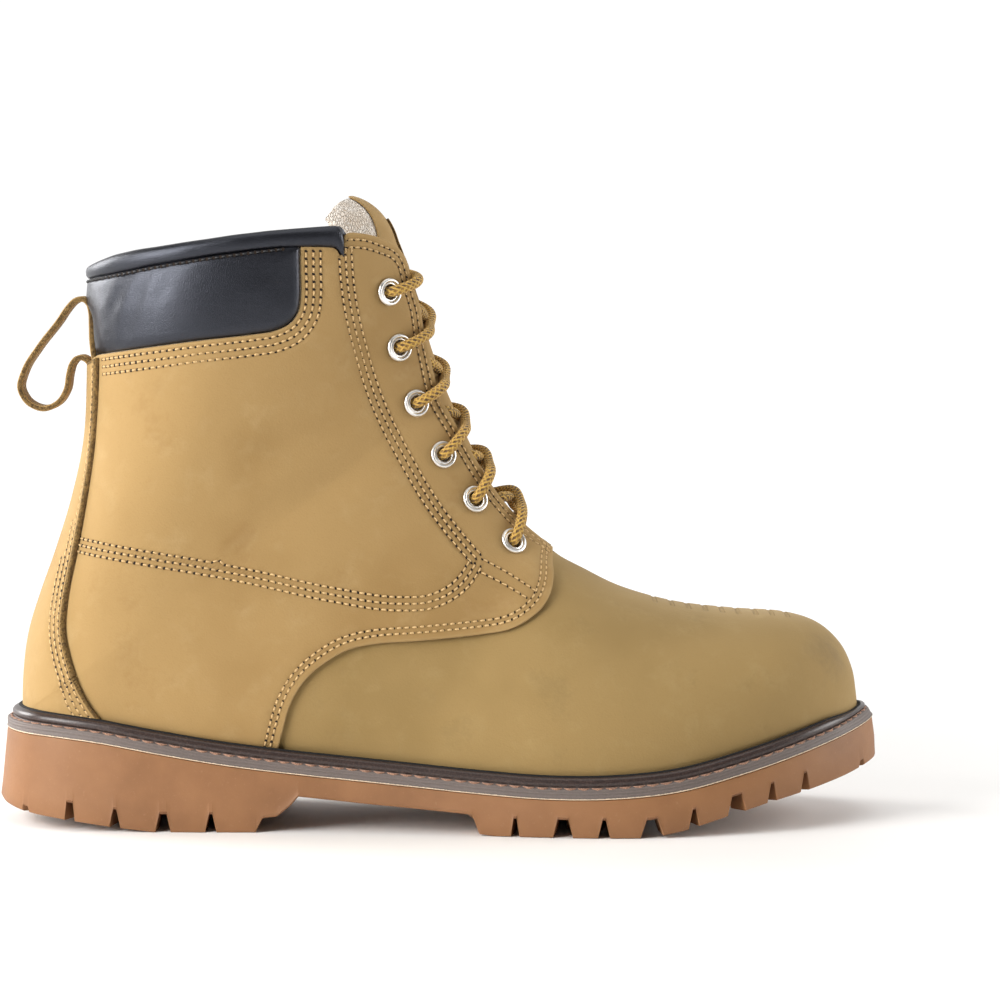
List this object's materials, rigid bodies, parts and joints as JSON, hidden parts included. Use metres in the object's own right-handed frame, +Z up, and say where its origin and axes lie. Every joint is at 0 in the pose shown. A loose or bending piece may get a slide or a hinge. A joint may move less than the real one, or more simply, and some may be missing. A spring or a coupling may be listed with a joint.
{
  "type": "motorcycle boot",
  "caption": "Ankle-high lace-up leather riding boot with a side zip, padded collar, heel pull loop, metal eyelets, raised welt bead and lugged rubber sole; right foot.",
  "frame": {"origin": "middle of the boot's bounding box on the floor plane that heel and forefoot stand on", "axes": "+X along the foot to the toe, +Y to the inner (zip) side, +Z up"},
  "size_m": [0.315, 0.1046, 0.2188],
  "materials": {
    "nubuck_wheat": "matt nubuck, wheat",
    "nubuck_tan": "matt nubuck, darker tan on vamp and toe",
    "black_leather": "soft padded black leather, low sheen",
    "tongue_lining": "beige knitted textile",
    "insole_textile": "felted textile",
    "gum_rubber": "matt gum rubber",
    "bead_rubber": "dark brown rubber, satin",
    "eyelet_metal": "nickel plated, satin",
    "lace_cord": "round braided cord, mustard with brown flecks",
    "zip_fabric": "woven dark brown tape",
    "zip_metal": "aged bronze teeth",
    "pull_metal": "gunmetal, satin",
    "hook_patch": "black hook-and-loop pile"
  },
  "bodies": {
    "boot": {"outsole": "gum_rubber", "welt": "bead_rubber", "insole": "insole_textile", "upper": "nubuck_tan", "quarter_lateral": "nubuck_wheat", "quarter_medial": "nubuck_wheat", "backstay": "nubuck_wheat", "collar_pad": "black_leather", "collar_binding": "black_leather", "tongue": "tongue_lining", "pull_loop": "nubuck_wheat", "eyelet_lateral_1": "eyelet_metal", "eyelet_lateral_2": "eyelet_metal", "eyelet_lateral_3": "eyelet_metal", "eyelet_lateral_4": "eyelet_metal", "eyelet_lateral_5": "eyelet_metal", "eyelet_lateral_6": "eyelet_metal", "eyelet_medial_1": "eyelet_metal", "eyelet_medial_2": "eyelet_metal", "eyelet_medial_3": "eyelet_metal", "eyelet_medial_4": "eyelet_metal", "eyelet_medial_5": "eyelet_metal", "eyelet_medial_6": "eyelet_metal", "lace_top": "lace_cord", "lace_cross_1": "lace_cord", "lace_cross_2": "lace_cord", "lace_cross_3": "lace_cord", "lace_cross_4": "lace_cord", "lace_cross_5": "lace_cord", "zip_tape": "zip_fabric", "zip_teeth": "zip_metal", "zip_slider": "pull_metal", "zip_flap": "nubuck_wheat", "flap_patch": "hook_patch"},
    "pull": {"zip_pull": "pull_metal"}
  },
  "joints": [
    {"name": "pull_hinge", "type": "hinge", "parent": "boot", "child": "pull", "pos_m": [-0.05267, 0.04411, 0.17719], "axis": [0.982, -0.1791, 0.0591], "range_deg": [0, 150]}
  ]
}
